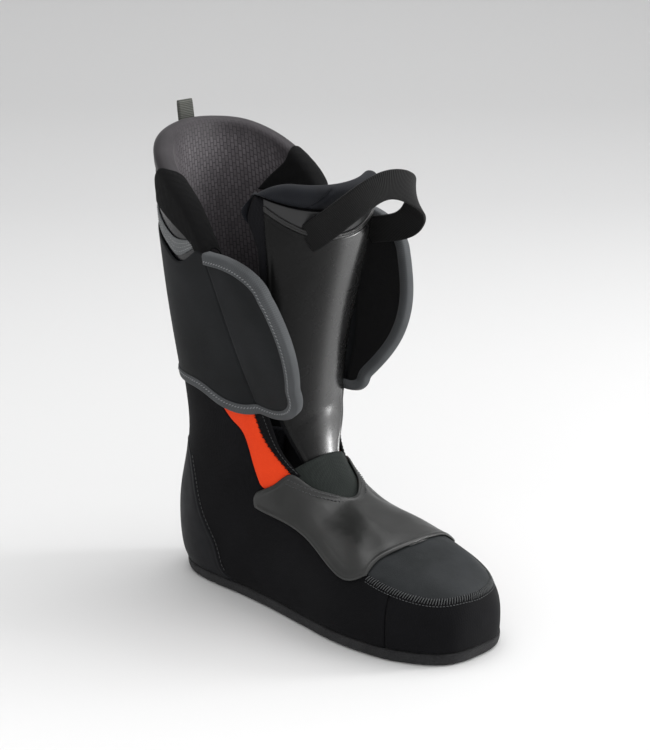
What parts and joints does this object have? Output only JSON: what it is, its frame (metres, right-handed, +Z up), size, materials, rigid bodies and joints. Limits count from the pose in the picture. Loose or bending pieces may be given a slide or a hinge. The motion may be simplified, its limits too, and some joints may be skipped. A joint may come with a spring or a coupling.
{
  "type": "ski boot liner",
  "caption": "Removable padded inner liner of an alpine ski boot, right foot: foam shell, tongue, two wrap flaps, ankle flex inserts, pull loop and tab.",
  "frame": {"origin": "underside of the sole, below the axis of the leg", "axes": "+Z up the leg, toe towards -Y, outer side of the foot towards -X"},
  "size_m": [0.1376, 0.2795, 0.3326],
  "materials": {
    "sole_felt": "dense matte felt with a ragged cut edge",
    "board": "pressed fibre board",
    "footbed_foam": "brushed fabric over foam",
    "foam": "moulded closed-cell foam",
    "stretch_fabric": "matte laminated stretch fabric",
    "heel_laminate": "smooth coated laminate, slight gloss",
    "gusset_stretch": "dark stretch knit",
    "overlay_leather": "smooth synthetic leather, satin",
    "cap_leather": "matte synthetic leather",
    "wrap_fabric": "fine smooth charcoal fabric over foam",
    "binding": "grey woven edge tape with a zigzag seam",
    "flex_orange": "bright orange stretch fabric",
    "collar_laminate": "glossy grey coated laminate",
    "trim_band": "light grey woven band",
    "lining_knit": "mauve-grey knit with a honeycomb pattern",
    "plush": "deep black plush",
    "shin_plastic": "smooth black moulded plastic, semi-gloss",
    "tongue_satin": "dark grey satin laminate",
    "tongue_lycra": "blue-black stretch lycra over soft foam",
    "piping": "black round piping",
    "webbing": "ribbed charcoal webbing",
    "tab_webbing": "grey woven webbing"
  },
  "bodies": {
    "foot": {"outsole": "sole_felt", "lasting_board": "board", "footbed": "footbed_foam", "foot_shell": "foam", "toe_cap": "cap_leather", "toe_band": "stretch_fabric", "heel_counter": "heel_laminate", "lateral_quarter": "stretch_fabric", "medial_quarter": "stretch_fabric", "instep_gusset": "gusset_stretch", "instep_overlay": "overlay_leather", "lateral_ankle_pad": "foam", "medial_ankle_pad": "foam"},
    "cuff": {"cuff_shell": "foam", "collar_cover": "collar_laminate", "lateral_ankle_skin": "stretch_fabric", "medial_ankle_skin": "stretch_fabric", "lateral_flex_insert": "flex_orange", "medial_flex_insert": "flex_orange", "lateral_throat_strip": "stretch_fabric", "medial_throat_strip": "stretch_fabric", "lateral_wrap_panel": "wrap_fabric", "medial_wrap_panel": "wrap_fabric", "lateral_wrap_binding": "binding", "medial_wrap_binding": "binding", "lateral_trim_band": "trim_band", "medial_trim_band": "trim_band", "collar_lining": "lining_knit", "lateral_plush_patch": "plush", "medial_plush_patch": "plush", "rear_tab_anchor": "tab_webbing"},
    "lateral_flap": {"lateral_flap": "wrap_fabric", "lateral_flap_binding": "binding"},
    "medial_flap": {"medial_flap": "wrap_fabric", "medial_flap_binding": "binding"},
    "tongue": {"tongue_foam": "foam", "tongue_shin_plate": "shin_plastic", "tongue_piping": "piping", "tongue_top_panel": "tongue_satin", "tongue_rim": "tongue_lycra"},
    "pull_loop": {"pull_loop": "webbing"},
    "rear_tab": {"rear_pull_tab": "tab_webbing"}
  },
  "joints": [
    {"name": "cuff_flex", "type": "hinge", "parent": "foot", "child": "cuff", "pos_m": [0, 0, 0.096], "axis": [1, 0, 0], "range_deg": [0, 8], "stiffness_Nm_per_rad": 6, "deforming": ["lateral_flex_insert", "medial_flex_insert", "lateral_throat_strip", "medial_throat_strip"]},
    {"name": "tongue_open", "type": "hinge", "parent": "foot", "child": "tongue", "pos_m": [0, -0.061, 0.105], "axis": [1, 0, 0], "range_deg": [-4, 30], "stiffness_Nm_per_rad": 0.6, "deforming": ["instep_gusset"]},
    {"name": "lateral_flap_fold", "type": "hinge", "parent": "cuff", "child": "lateral_flap", "pos_m": [-0.0537, -0.0285, 0.1861], "axis": [0.2091, -0.2651, -0.9413], "range_deg": [-8, 60], "stiffness_Nm_per_rad": 0.3},
    {"name": "medial_flap_fold", "type": "hinge", "parent": "cuff", "child": "medial_flap", "pos_m": [0.0537, -0.0285, 0.1861], "axis": [0.2091, 0.2651, 0.9413], "range_deg": [-6, 55], "stiffness_Nm_per_rad": 0.3},
    {"name": "pull_loop_swing", "type": "hinge", "parent": "tongue", "child": "pull_loop", "pos_m": [0.0072, -0.0651, 0.2553], "axis": [0.9861, 0.1412, -0.0881], "range_deg": [-3, 50], "stiffness_Nm_per_rad": 0.05},
    {"name": "rear_tab_fold", "type": "hinge", "parent": "cuff", "child": "rear_tab", "pos_m": [0, 0.0788, 0.3183], "axis": [1, 0, 0], "range_deg": [-60, 12], "stiffness_Nm_per_rad": 0.01}
  ]
}
